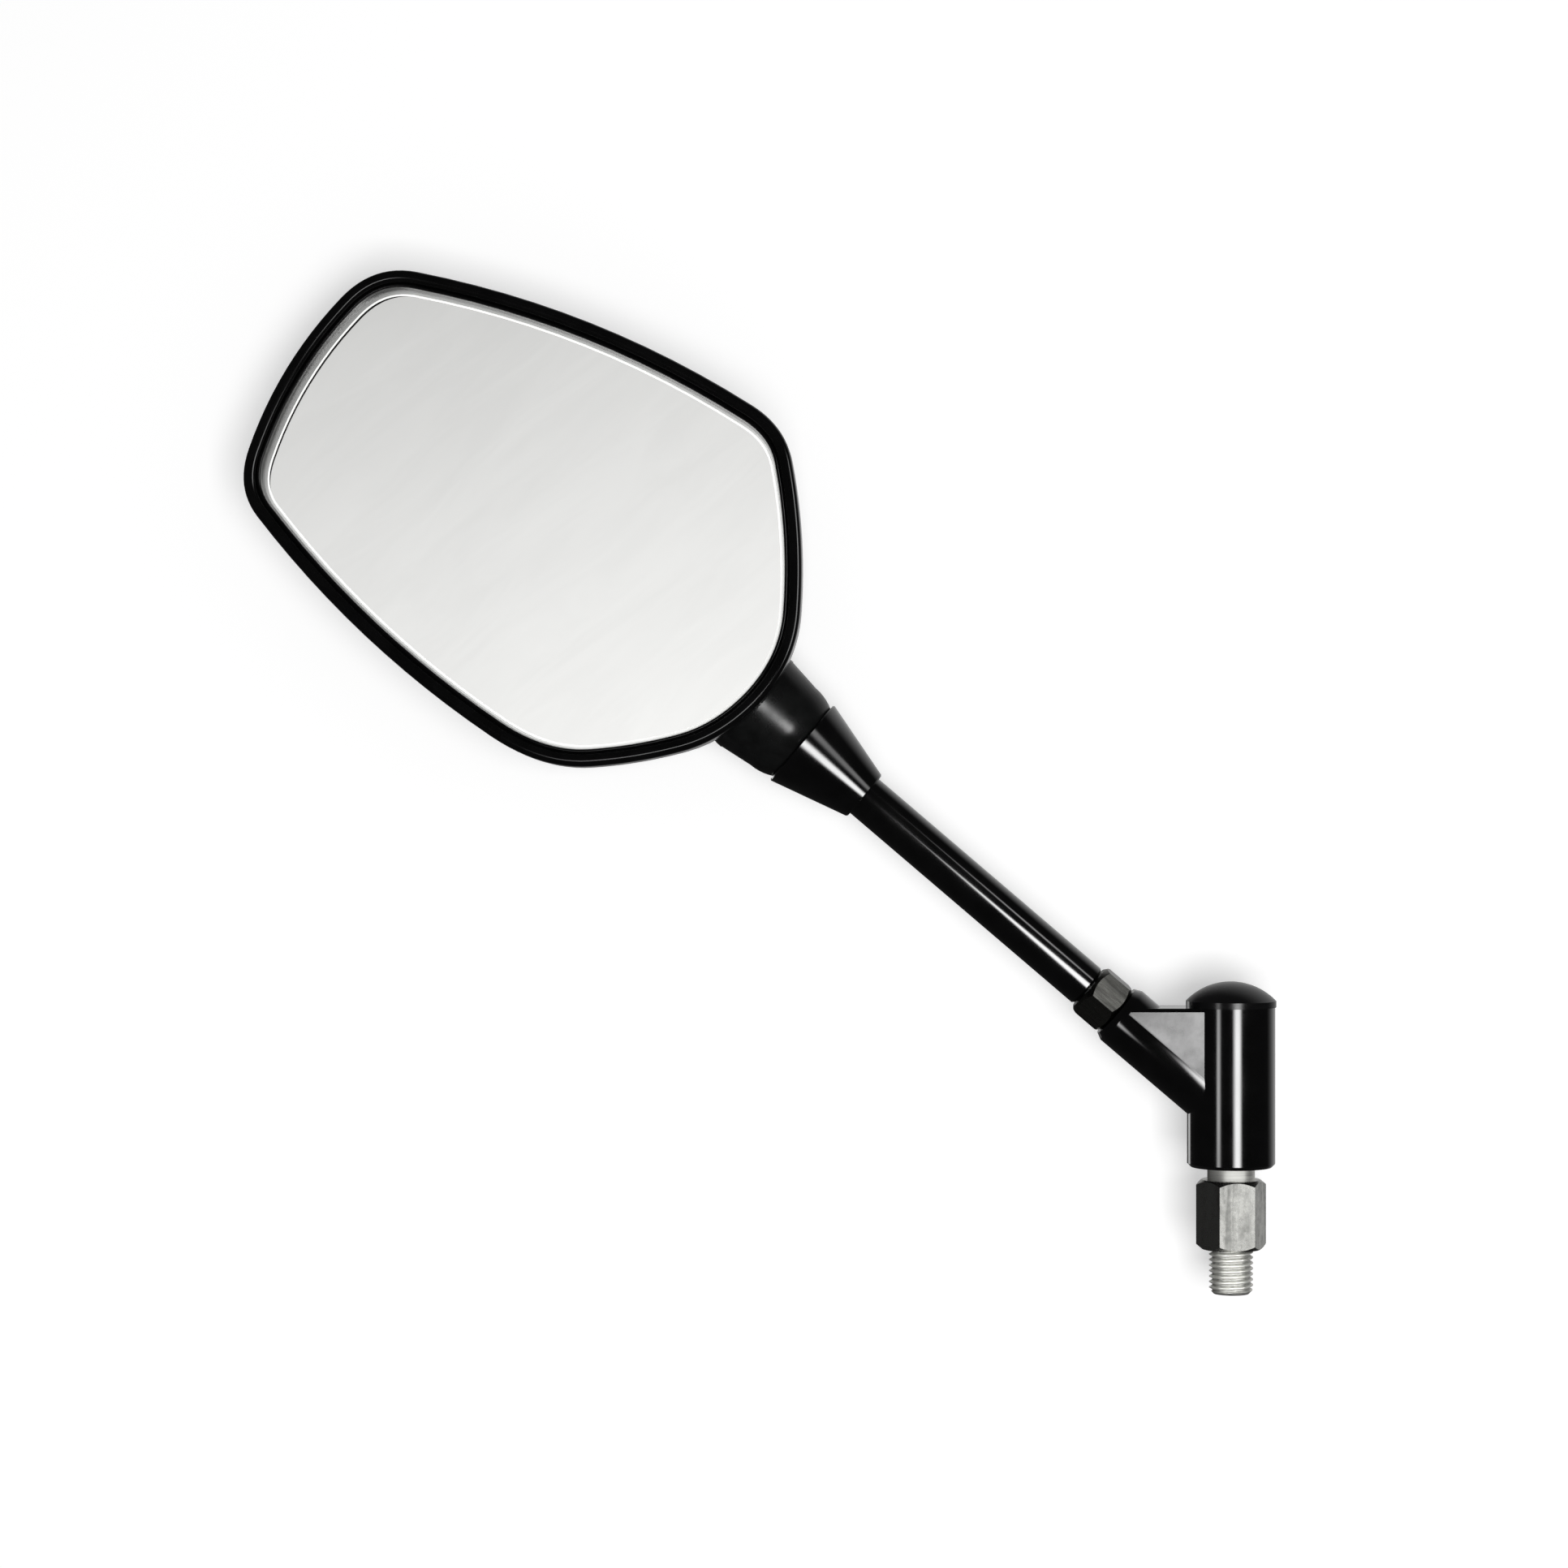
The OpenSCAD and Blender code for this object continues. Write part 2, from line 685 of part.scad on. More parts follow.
module retainer_screws() {
    color([0.75, 0.75, 0.75])
        for (side = [-1, 1])
            on_stem(ball_dist + retainer_z)
                translate([side * screw_offset, 0, 0])
                    difference() {
                        union() {
                            translate([0, 0, -screw_len])
                                cylinder(r = screw_d / 2, h = screw_len + retainer_t + eps);
                            translate([0, 0, retainer_t])
                                cylinder(r1 = screw_head_r, r2 = screw_head_r - screw_head_bevel, h = screw_head_h);
                        }
                        for (turn = [0, 90])
                            rotate([0, 0, turn])
                                translate([-screw_head_r / 2, -slot_w / 2, retainer_t + screw_head_h - slot_depth])
                                    cube([screw_head_r, slot_w, 2]);
                    }
}

// The neck outside: a ball end, a widening tube, and a fairing that runs out on the back of the housing
module neck_outside() {
    on_stem(ball_dist) {
        sphere(r = neck_r);
        cylinder(r1 = neck_r, r2 = neck_root_d / 2, h = neck_len);
        hull() {
            translate([0, 0, neck_len - 1])
                cylinder(r = neck_root_d / 2, h = 1, $fn = 48);
            translate([0, fairing_back, fairing_len])
                sphere(r = fairing_end_r, $fn = 32);
        }
    }
}

module screw_posts(r, h, depth) {
    for (side = [-1, 1])
        on_stem(ball_dist + retainer_z - depth)
            translate([side * screw_offset, 0, 0])
                cylinder(r = r, h = h);
}

// A rib across the head that ties both posts to the tube of the neck and to the wall
module post_rib() {
    reach = screw_offset + 2 * post_r;
    rib_h = retainer_z - tube_in - post_r - 1;
    on_stem(ball_dist)
        translate([-reach, -rib_w / 2, post_r])
            cube([2 * reach, rib_w, rib_h]);
}

module housing() {
    lip_in = skirt_in + run_gap;
    dome_depth = trim_foot - run_gap + housing_back;
    cavity_depth = cavity_front + housing_back - housing_wall;
    color([0.1, 0.1, 0.1])
        difference() {
            union() {
                in_head() {
                    dome(shell_in, trim_foot - run_gap, dome_depth);
                    rim_sweep([for (i = [1:stations]) [[lip_in, trim_foot - 1], [wall_in + 1, trim_foot - 1],
                        [wall_in + 1, lip_top - push_gap], [lip_in, lip_top - push_gap]]]);
                }
                neck_outside();
            }
            difference() {
                in_head()
                    dome(housing_wall + shell_in, cavity_front, cavity_depth);
                on_stem(ball_dist)
                    cylinder(r = neck_r, h = retainer_z - tube_in);
                screw_posts(post_r, retainer_z, retainer_z);
                post_rib();
            }
            in_head()
                glass_pocket();
            in_head()
                translate([0, 1 - cavity_front, 0])
                    rotate([90, 0, 0])
                        linear_extrude(height = trim_foot - cavity_front + 1)
                            polygon(inset(ledge_in));
            on_stem(ball_dist) {
                sphere(r = socket_r);
                cylinder(r = socket_r, h = retainer_z + 1);
                translate([0, 0, -2 * neck_r])
                    cylinder(r1 = 2 * neck_r * tan(mouth_angle), r2 = 0, h = 2 * neck_r);
            }
            screw_posts(screw_d / 2 + push_gap, screw_len + 1, screw_len + screw_end_gap);
        }
}

// The recess for the glass and its foam, open to the front
module glass_pocket() {
    edge = inset(wall_in);
    floor_depth = glass_t + foam_t + push_gap;
    floor_rings = [for (k = [glass_rings:-1:1]) glass_ring(edge, k / glass_rings, floor_depth)];
    skin(concat([[for (p = edge) at(p, rim_front + 1)]], floor_rings),
        at(glass_centre, rim_front + 1), at(glass_centre, glass_crown - floor_depth));
}

module foam_ring() {
    top = glass_t + push_gap;
    color([0.3, 0.3, 0.3])
        in_head()
            rim_sweep([for (i = [0:stations - 1]) [for (c = [[foam_in, top + foam_t - push_gap],
                [ledge_in, top + foam_t - push_gap], [ledge_in, top], [foam_in, top]])
                [c[0], glass_front(rim_points[i] + c[0] * inward(i)) - c[1]]]]);
}

module mirror_glass() {
    color([0.85, 0.87, 0.88])
        in_head()
            glass_plate();
}

// A bead of the trim section, from its inner foot over the top to its outer foot
function bead(start, w, rise, steps) = [for (k = [0:steps])
    [start + w * (1 + cos(180 * k / steps)) / 2, bead_foot + rise * sin(180 * k / steps)]];
// The trim straddles the lip of the housing, and its inner wall stands round the edge of the glass
function trim_section(i) = let (
    leg_in = wall_in + run_gap,
    near = glass_front(rim_points[i] + leg_in * inward(i)) - glass_t - foam_t,
    far = glass_front(rim_points[i] + trim_wall_in * inward(i)) - glass_t - foam_t) concat(
        [[skirt_edge, trim_foot], [skirt_in, trim_foot], [skirt_in, lip_top], [leg_in, lip_top],
            [leg_in, near], [trim_wall_in, far]],
        bead(outer_bead_w + groove_w, inner_bead_w, inner_bead_h, 5),
        bead(0, outer_bead_w, outer_bead_h, 7), [[0, trim_foot + 1]]);

module rim_trim() {
    color([0.04, 0.04, 0.04])
        in_head()
            rim_sweep([for (i = [0:stations - 1]) trim_section(i)]);
}

pivot_stud();
thrust_washer();
lower_bush();
upper_bush();
friction_washer();
disc_springs();
flat_washer();
pivot_nut();
locking_ring();
base_arm();
dome_cap();
lock_nut();
stem();
joint_cover();
ball_seat();
pressure_cup();
clamp_spring();
retainer_plate();
retainer_screws();
housing();
foam_ring();
mirror_glass();
rim_trim();
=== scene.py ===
"""Looks of the handlebar mirror: finishes, finer shapes, studio and camera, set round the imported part."""

import math

import bmesh
import bpy
from bpy.props import FloatProperty, FloatVectorProperty, IntProperty, PointerProperty
from mathutils import Matrix, Vector


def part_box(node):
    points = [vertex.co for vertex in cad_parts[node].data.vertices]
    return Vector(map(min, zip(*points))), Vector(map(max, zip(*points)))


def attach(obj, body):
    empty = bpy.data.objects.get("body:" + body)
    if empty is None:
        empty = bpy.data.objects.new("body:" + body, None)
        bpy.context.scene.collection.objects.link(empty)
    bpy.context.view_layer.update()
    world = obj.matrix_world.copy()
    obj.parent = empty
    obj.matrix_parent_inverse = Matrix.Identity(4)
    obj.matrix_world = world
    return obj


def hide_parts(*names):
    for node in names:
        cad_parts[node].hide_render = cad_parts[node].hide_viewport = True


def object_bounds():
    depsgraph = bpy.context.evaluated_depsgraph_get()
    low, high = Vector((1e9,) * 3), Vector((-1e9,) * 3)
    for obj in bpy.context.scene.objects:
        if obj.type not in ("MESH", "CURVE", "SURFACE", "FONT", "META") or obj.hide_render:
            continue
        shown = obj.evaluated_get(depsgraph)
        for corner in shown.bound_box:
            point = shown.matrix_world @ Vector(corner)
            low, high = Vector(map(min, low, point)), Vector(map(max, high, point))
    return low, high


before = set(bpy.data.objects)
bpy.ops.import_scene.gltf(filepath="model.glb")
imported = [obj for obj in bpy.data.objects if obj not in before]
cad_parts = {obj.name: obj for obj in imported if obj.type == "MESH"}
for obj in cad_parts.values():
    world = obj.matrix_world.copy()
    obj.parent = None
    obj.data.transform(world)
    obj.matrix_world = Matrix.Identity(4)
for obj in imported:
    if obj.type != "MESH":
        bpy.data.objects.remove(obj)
CAD_BOX = [list(corner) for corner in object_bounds()]

bl_info = {
    "name": "Handlebar mirror dressing",
    "version": (1, 0, 0),
    "blender": (4, 5, 0),
    "location": "View3D > Sidebar > Mirror",
    "description": "Finishes, threads, glass, rim and studio for the handlebar mirror",
    "category": "Object",
}

MM = 0.001

# Places and sizes that the part has, in millimetres and degrees
ARM_Z = 31.8
STEM_SLOPE = 40.5
BALL_DIST = 134.2
HEAD_LEAN = 3.0
HEAD_TURN = 3.0
RIM_W = 126.0
RIM_H = 112.0
RIM_FRONT = 21.5
TRIM_FOOT = 14.0
LIP_TOP = 17.0
SKIRT_IN = 0.95
WALL_IN = 2.75
WEB_HALF = 7.2
HEX_TOP = 15.8
GLASS_CROWN = 17.2
GLASS_R = 1200.0
GLASS_T = 2.6
FOAM_T = 1.2
RUN_GAP = 0.05
RIM_CORNERS = (
    (0.018, 0.6),
    (-0.736, 0.944),
    (-0.99, 0.471),
    (-0.435, -0.11),
    (-0.093, -0.047),
    (0.042, 0.145),
)
CORNER_BLENDS = (9, 12, 10, 13, 10, 8)
SIDE_BOWS = (3.8, 2.2, 2.9, 0.5, 0.3, 1.1)
GLASS_CENTRE = Vector((-0.46 * RIM_W, 0.42 * RIM_H))
STUD_R = 5.0
TIP_BEVEL = 1.0

# Fine forms that the scene adds: lengths in millimetres, with counts and shares
SHOULDER_MARGIN = 0.1
WEB_SKIN = 0.02
STUD_CUT = 0.01
THREAD_INTO_HEX = 0.3
THREAD_ROWS = 96
THREAD_AROUND = 96
FLANK_STEEPNESS = 1.6
CREST_FLAT = 0.25
GROOVE = 0.08
OUTER_RISE = 1.6
INNER_RISE = 0.8
OUTER_STEPS = 16
INNER_STEPS = 10
BEAD_FULLNESS = 0.8
WALL_INSIDE = 0.15
WALL_DROP = 2.2
FLANK_DROP = 2.4
FOOT_ROUND = ((0.0, 1.2), (0.08, 0.4), (0.3, 0.0))
EDGE_DROP = 0.3
GLASS_RINGS = 14
INNERMOST = 0.02
BACK_SHARES = (1, 0.7, 0.35, INNERMOST)
FRONT_SKIN = 0.15
FRONT_FACING = 0.99

# The studio, in metres; a lamp has a name, an azimuth and elevation in degrees, a side and a power in watts
UPRIGHT = (math.pi / 2, 0, 0)
BOARD_SIZE = 4
BOARD_GAP = 0.0015
BOARD_GLOW = 0.45
STAGE_CENTRE = Vector((-0.09, 0, 0.1))
LAMP_REACH = 1.3
LAMPS = (("key", 6, -6, 0.42, 10), ("back_fill", 190, 35, 0.8, 30))
PALE_SIDE = (0.45, 0.8, 0.4)
FILL = 0.2
CAMERA_PLACE = (-0.1019, -0.8, 0.1059)
CAMERA_LENS = 80.58
CAMERA_SENSOR = 36

SLOPE = math.radians(STEM_SLOPE)
BALL = Vector((-math.cos(SLOPE) * BALL_DIST, 0, ARM_Z + math.sin(SLOPE) * BALL_DIST))
HEAD = (
    Matrix.Translation(BALL)
    @ Matrix.Rotation(math.radians(-HEAD_TURN), 4, "Z")
    @ Matrix.Rotation(math.radians(-HEAD_LEAN), 4, "X")
)


# Outline of the head


def rim_corner(i):
    across, up = RIM_CORNERS[i % 6]
    return Vector((across * RIM_W, up * RIM_H))


def along(i):
    return (rim_corner(i + 1) - rim_corner(i)).normalized()


def side(i):
    """The start, middle and end that steer the bowed side i."""
    start = rim_corner(i) + CORNER_BLENDS[i % 6] * along(i)
    end = rim_corner(i + 1) - CORNER_BLENDS[(i + 1) % 6] * along(i)
    out = Vector((along(i).y, -along(i).x))
    return start, (start + end) / 2 + 2 * SIDE_BOWS[i % 6] * out, end


def bend(a, b, c, share):
    return (1 - share) ** 2 * a + 2 * share * (1 - share) * b + share**2 * c


def meet(a, u, b, v):
    return a + u * (b - a).cross(v) / u.cross(v)


def rim_outline(steps):
    """Points round the outside of the rim, and the direction into the rim at each."""
    points = []
    for i in range(6):
        start, mid, end = side(i)
        _, mid_before, end_before = side(i + 5)
        peak = meet(end_before, end_before - mid_before, start, mid - start)
        points += [bend(end_before, peak, start, k / steps) for k in range(steps)]
        points += [bend(start, mid, end, k / steps) for k in range(steps)]
    count = len(points)
    inward = []
    for i in range(count):
        run = (points[(i + 1) % count] - points[i - 1]).normalized()
        inward.append(Vector((-run.y, run.x)))
    return points, inward


def in_head(point, height):
    """A point of the head, given across and up from the ball and towards the viewer."""
    return MM * (HEAD @ Vector((point.x, -height, point.y)))


def glass_front(point):
    """Height of the convex glass at a point."""
    return GLASS_CROWN - GLASS_R + math.sqrt(GLASS_R**2 - (point - GLASS_CENTRE).length_squared)


# Making pieces


def clear_selection():
    """Leaves edit mode with nothing selected."""
    if bpy.context.object and bpy.context.object.mode != "OBJECT":
        bpy.ops.object.mode_set(mode="OBJECT")
    bpy.ops.object.select_all(action="DESELECT")


def only(piece):
    """Selects one object alone."""
    clear_selection()
    piece.select_set(True)
    bpy.context.view_layer.objects.active = piece


def place_ring(mesh, before, points):
    """Moves the selected ring, which lies on the points before, to the new points."""
    work = bmesh.from_edit_mesh(mesh)
    at = {tuple(p): i for i, p in enumerate(before)}
    moved = {}
    for vertex in work.verts:
        if vertex.select:
            i = at[tuple(vertex.co)]
            vertex.co = points[i]
            moved[i] = vertex.co.copy()
    bmesh.update_edit_mesh(mesh)
    return [moved[i] for i in range(len(points))]


def skin_rings(name, rings, closed=False):
    """A circle laid on the first ring and extruded to each next one; its ends are capped, or joined."""
    clear_selection()
    bpy.ops.mesh.primitive_circle_add(vertices=len(rings[0]), radius=1)
    piece = bpy.context.object
    piece.name = name
    mesh = piece.data
    mesh.name = name
    before = [v.co.copy() for v in mesh.vertices]
    bpy.ops.object.mode_set(mode="EDIT")
    bpy.ops.mesh.select_all(action="SELECT")
    before = place_ring(mesh, before, rings[0])
    if not closed:
        bpy.ops.mesh.edge_face_add()
        bpy.ops.mesh.poke()
        bpy.ops.mesh.select_all(action="DESELECT")
        work = bmesh.from_edit_mesh(mesh)
        for edge in work.edges:
            if len(edge.link_faces) == 1:
                edge.select = True
        bmesh.update_edit_mesh(mesh)
    for ring in list(rings[1:]) + ([rings[0]] if closed else []):
        bpy.ops.mesh.extrude_edges_move()
        before = place_ring(mesh, before, ring)
    if closed:
        bpy.ops.mesh.select_all(action="SELECT")
        bpy.ops.mesh.remove_doubles(threshold=1e-7)
    else:
        bpy.ops.mesh.edge_face_add()
        bpy.ops.mesh.poke()
    bpy.ops.mesh.select_all(action="SELECT")
    bpy.ops.mesh.normals_make_consistent(inside=False)
    bpy.ops.object.mode_set(mode="OBJECT")
    return piece


def copy_node(node, name):
    """A merged copy of a CAD node, to finish as a piece of its own."""
    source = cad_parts[node]
    piece = bpy.data.objects.new(name, source.data.copy())
    bpy.context.scene.collection.objects.link(piece)
    only(piece)
    piece.data.materials.clear()
    bpy.ops.mesh.customdata_custom_splitnormals_clear()
    bpy.ops.object.mode_set(mode="EDIT")
    bpy.ops.mesh.select_all(action="SELECT")
    bpy.ops.mesh.remove_doubles(threshold=1e-6)
    bpy.ops.object.mode_set(mode="OBJECT")
    return piece


def shade(piece, degrees):
    only(piece)
    bpy.ops.object.shade_smooth_by_angle(angle=math.radians(degrees))


def seat(piece, body, node=None):
    """The piece rides on its body and, given a node, hides that node in its stead."""
    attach(piece, body)
    if node:
        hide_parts(node)


def finish_node(node, material):
    """Gives a CAD node its finish."""
    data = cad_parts[node].data
    data.materials.clear()
    data.materials.append(material)


# Materials


class Nodes:
    """The nodes of a material or the world, started empty."""

    def __init__(self, owner):
        owner.use_nodes = True
        self.tree = owner.node_tree
        self.tree.nodes.clear()

    def add(self, kind, inputs=None, **settings):
        node = self.tree.nodes.new(kind)
        for key, value in settings.items():
            setattr(node, key, value)
        for key, value in (inputs or {}).items():
            if isinstance(value, bpy.types.NodeSocket):
                self.tree.links.new(value, node.inputs[key])
            else:
                node.inputs[key].default_value = value
        return node

    def maths(self, how, *values):
        return self.add("ShaderNodeMath", dict(enumerate(values)), operation=how).outputs["Value"]

    def smooth(self, value, low, high, to_low=0.0, to_high=1.0):
        return self.add(
            "ShaderNodeMapRange",
            {"Value": value, "From Min": low, "From Max": high, "To Min": to_low, "To Max": to_high},
            interpolation_type="SMOOTHSTEP",
        ).outputs["Result"]


class Finish(Nodes):
    """A material under way: a Principled shader and the nodes that feed it."""

    def __init__(self, name, **values):
        self.material = bpy.data.materials.new(name)
        super().__init__(self.material)
        out = self.add("ShaderNodeOutputMaterial")
        self.body = self.add("ShaderNodeBsdfPrincipled")
        self.tree.links.new(self.body.outputs["BSDF"], out.inputs["Surface"])
        self.place = self.add("ShaderNodeTexCoord").outputs["Object"]
        for socket, value in values.items():
            self.body.inputs[socket.replace("_", " ")].default_value = value

    def turned(self, rotation=(0, 0, 0), scale=(1, 1, 1)):
        """Object coordinates, turned first and then stretched."""
        turned = self.add("ShaderNodeMapping", {"Vector": self.place, "Rotation": rotation})
        inputs = {"Vector": turned.outputs["Vector"], "Scale": scale}
        return self.add("ShaderNodeMapping", inputs).outputs["Vector"]

    def noise(self, scale, detail=3.0, rough=0.5, place=None, distortion=0.0):
        return self.add(
            "ShaderNodeTexNoise",
            {
                "Vector": place or self.place,
                "Scale": scale,
                "Detail": detail,
                "Roughness": rough,
                "Distortion": distortion,
            },
        ).outputs["Fac"]

    def remap(self, value, low, high, to_low, to_high):
        return self.add(
            "ShaderNodeMapRange",
            {"Value": value, "From Min": low, "From Max": high, "To Min": to_low, "To Max": to_high},
        ).outputs["Result"]

    def ramp(self, value, stops):
        node = self.add("ShaderNodeValToRGB", {"Fac": value})
        marks = node.color_ramp.elements
        for i, (at, colour) in enumerate(stops):
            mark = marks[i] if i < 2 else marks.new(at)
            mark.position = at
            mark.color = (*colour, 1)
        return node.outputs["Color"]

    def colour(self, socket):
        self.tree.links.new(socket, self.body.inputs["Base Color"])

    def rough(self, socket):
        self.tree.links.new(socket, self.body.inputs["Roughness"])

    def bumps(self, *layers):
        """Bump layers, each a height, a strength and a depth in millimetres."""
        normal = None
        for height, strength, depth in layers:
            inputs = {"Height": height, "Strength": strength, "Distance": depth * MM}
            if normal:
                inputs["Normal"] = normal
            normal = self.add("ShaderNodeBump", inputs).outputs["Normal"]
        self.tree.links.new(normal, self.body.inputs["Normal"])
        if self.body.inputs["Coat Weight"].default_value:
            self.tree.links.new(normal, self.body.inputs["Coat Normal"])


def shades(colour, low, high):
    """Two shades of a colour for a ramp."""
    return tuple(low * c for c in colour), tuple(high * c for c in colour)


def make_gloss_paint(colour):
    """Black lacquer on a casting: deep gloss, with a slow wobble and a fine orange peel."""
    f = Finish("gloss_black_paint", Coat_Weight=1.0, Coat_Roughness=0.03)
    dark, light = shades(colour, 0.7, 1.4)
    f.colour(f.ramp(f.noise(240, 4), [(0.35, dark), (0.7, light)]))
    f.rough(f.remap(f.noise(90, 3), 0.3, 0.7, 0.09, 0.18))
    f.bumps((f.noise(60, 1), 0.2, 0.07), (f.noise(900, 2), 0.1, 0.002))
    return f.material


def make_web_paint(colour):
    """The flat web of the casting: thinner lacquer over a rougher skin, so that it blurs what it shows."""
    f = Finish("web_black_paint", Coat_Weight=0.5, Coat_Roughness=0.2)
    dark, light = shades(colour, 0.7, 1.4)
    f.colour(f.ramp(f.noise(240, 4), [(0.35, dark), (0.7, light)]))
    f.rough(f.remap(f.noise(150, 4, 0.6), 0.35, 0.65, 0.16, 0.3))
    f.bumps((f.noise(170, 3), 0.3, 0.1), (f.noise(1200, 2), 0.2, 0.01))
    return f.material


def make_gloss_plastic(colour):
    """Polished black moulding."""
    f = Finish("gloss_black_plastic", Coat_Weight=0.6, Coat_Roughness=0.05)
    dark, light = shades(colour, 0.7, 1.5)
    f.colour(f.ramp(f.noise(180, 4), [(0.35, dark), (0.7, light)]))
    f.rough(f.remap(f.noise(120, 3), 0.3, 0.7, 0.1, 0.18))
    f.bumps((f.noise(30, 1), 0.1, 0.05), (f.noise(1400, 2), 0.15, 0.002))
    return f.material


def make_satin_plastic(colour):
    """Moulded black plastic with a fine grain."""
    f = Finish("satin_black_plastic", Specular_IOR_Level=0.3)
    dark, light = shades(colour, 0.5, 1.1)
    f.colour(f.ramp(f.noise(300, 5), [(0.3, dark), (0.75, light)]))
    f.rough(f.remap(f.noise(110, 3), 0.35, 0.65, 0.2, 0.34))
    f.bumps((f.noise(110, 2), 0.6, 0.25), (f.noise(2600, 3, 0.7), 0.3, 0.008))
    return f.material


def make_rubber(colour):
    """Smooth cap rubber with a faint bloom."""
    f = Finish("satin_black_rubber")
    dark, light = shades(colour, 0.6, 1.2)
    f.colour(f.ramp(f.noise(160, 5, 0.6), [(0.3, dark), (0.75, light)]))
    f.rough(f.remap(f.noise(220, 4), 0.3, 0.7, 0.16, 0.26))
    f.bumps((f.noise(90, 2), 0.2, 0.06), (f.noise(1800, 3, 0.7), 0.25, 0.006))
    return f.material


def make_zinc(colour):
    """Bright zinc plate with turned streaks, dull spots and a warm cast."""
    f = Finish("zinc_plate", Metallic=1.0)
    runs = f.noise(330, 3, 0.6, f.turned(scale=(1, 1, 0.14)), 0.8)
    spots = f.noise(800, 3, 0.6)
    mixed = f.maths("ADD", f.maths("MULTIPLY", runs, 0.65), f.maths("MULTIPLY", spots, 0.35))
    dark, light = shades(colour, 0.55, 1.15)
    f.colour(f.ramp(mixed, [(0.36, dark), (0.6, light)]))
    f.rough(f.remap(mixed, 0.35, 0.65, 0.34, 0.2))
    f.bumps((mixed, 0.3, 0.02))
    return f.material


def make_turned_zinc_painted_bright(colour):
    """The turned shoulder of the stud, the same zinc painted brighter than the hex as a painted highlight,
    with fine lines round it.
    """
    f = Finish("turned_zinc_painted_bright", Metallic=0.8)
    lines = f.noise(300, 3, 0.6, f.turned(scale=(0.2, 0.2, 12)))
    # The zinc colour is raised 1.25 to 1.6 times here: a painted highlight on the shoulder.
    dark, light = shades(colour, 1.25, 1.6)
    f.colour(f.ramp(lines, [(0.35, dark), (0.65, light)]))
    f.rough(f.remap(lines, 0.35, 0.65, 0.3, 0.45))
    f.bumps((lines, 0.3, 0.01))
    return f.material


def make_thread_steel(colour, root_r, crest_r):
    """The stud thread: painted shade in the roots and a painted highlight on the crests, with a random tone
    on top.
    """
    f = Finish("thread_steel", Metallic=0.75)
    parts = f.add("ShaderNodeSeparateXYZ", {"Vector": f.place})
    flat = f.add("ShaderNodeCombineXYZ", {"X": parts.outputs["X"], "Y": parts.outputs["Y"], "Z": 0.0})
    reach = f.add("ShaderNodeVectorMath", {0: flat.outputs["Vector"]}, operation="LENGTH").outputs["Value"]
    # Colour by depth: painted shade in the thread roots, painted highlight on the crests; the noise adds
    # random tone.
    height = f.remap(reach, root_r, crest_r, 0.0, 1.0)
    painted_depth_shade_and_wear = f.maths("ADD", height, f.remap(f.noise(900, 3), 0.3, 0.7, -0.2, 0.2))
    dark, light = shades(colour, 0.7, 1.35)
    f.colour(f.ramp(painted_depth_shade_and_wear, [(0.05, dark), (0.75, light)]))
    f.rough(f.remap(f.noise(800, 3), 0.3, 0.7, 0.3, 0.5))
    f.bumps((f.noise(1500, 2), 0.2, 0.01))
    return f.material


def make_dark_steel(colour):
    """Blackened steel nut with grey rubbed streaks along its flats."""
    f = Finish("dark_steel", Metallic=1.0)
    place = f.turned(rotation=(0, math.pi / 2 - SLOPE, 0), scale=(9, 9, 0.9))
    streaks = f.noise(130, 5, 0.65, place)
    dark, light = shades(colour, 0.55, 1.3)
    f.colour(f.ramp(streaks, [(0.35, dark), (0.7, light)]))
    f.rough(f.remap(streaks, 0.3, 0.7, 0.3, 0.2))
    f.bumps((streaks, 0.4, 0.02))
    return f.material


def make_mirror(colour):
    """Silvered glass with faint slanting wipe marks."""
    f = Finish("silvered_glass", Metallic=1.0)
    wipes = f.noise(26, 4, 0.6, f.turned(rotation=(0, math.radians(40), 0), scale=(1, 1, 5)), 0.8)
    haze = f.noise(14, 2)
    mixed = f.maths("ADD", f.maths("MULTIPLY", wipes, 0.6), f.maths("MULTIPLY", haze, 0.4))
    dark, light = shades(colour, 0.965, 1.01)
    f.colour(f.ramp(mixed, [(0.38, dark), (0.62, light)]))
    f.rough(f.remap(mixed, 0.3, 0.7, 0.03, 0.07))
    return f.material


def make_ground_edge_painted_glow():
    """The ground edge of the glass, frosted white, with a painted glow that keeps it bright."""
    # The emission here is a painted glow: the edge shines without any lamp.
    f = Finish("ground_edge", Emission_Color=(1, 1, 0.98, 1), Emission_Strength=0.7)
    grains = f.noise(2200, 3, 0.6)
    f.colour(f.ramp(grains, [(0.3, (0.8, 0.82, 0.81)), (0.7, (0.9, 0.91, 0.9))]))
    f.rough(f.remap(grains, 0.3, 0.7, 0.35, 0.55))
    f.bumps((grains, 0.3, 0.01))
    return f.material


def make_plain(name, colour, rough, metallic=0.0, grain=900):
    """A worked surface for the pieces inside."""
    f = Finish(name, Metallic=metallic)
    grains = f.noise(grain, 4)
    dark, light = shades(colour, 0.8, 1.12)
    f.colour(f.ramp(grains, [(0.3, dark), (0.7, light)]))
    f.rough(f.remap(grains, 0.3, 0.7, rough * 0.8, rough * 1.2))
    f.bumps((grains, 0.3, 0.02))
    return f.material


# Sizes and colours that a user would change


def length(name, note, value):
    return FloatProperty(name=name, description=note, default=value * MM, unit="LENGTH", precision=5)


def paint(name, note, value):
    return FloatVectorProperty(name=name, description=note, default=value, subtype="COLOR", min=0, max=1)


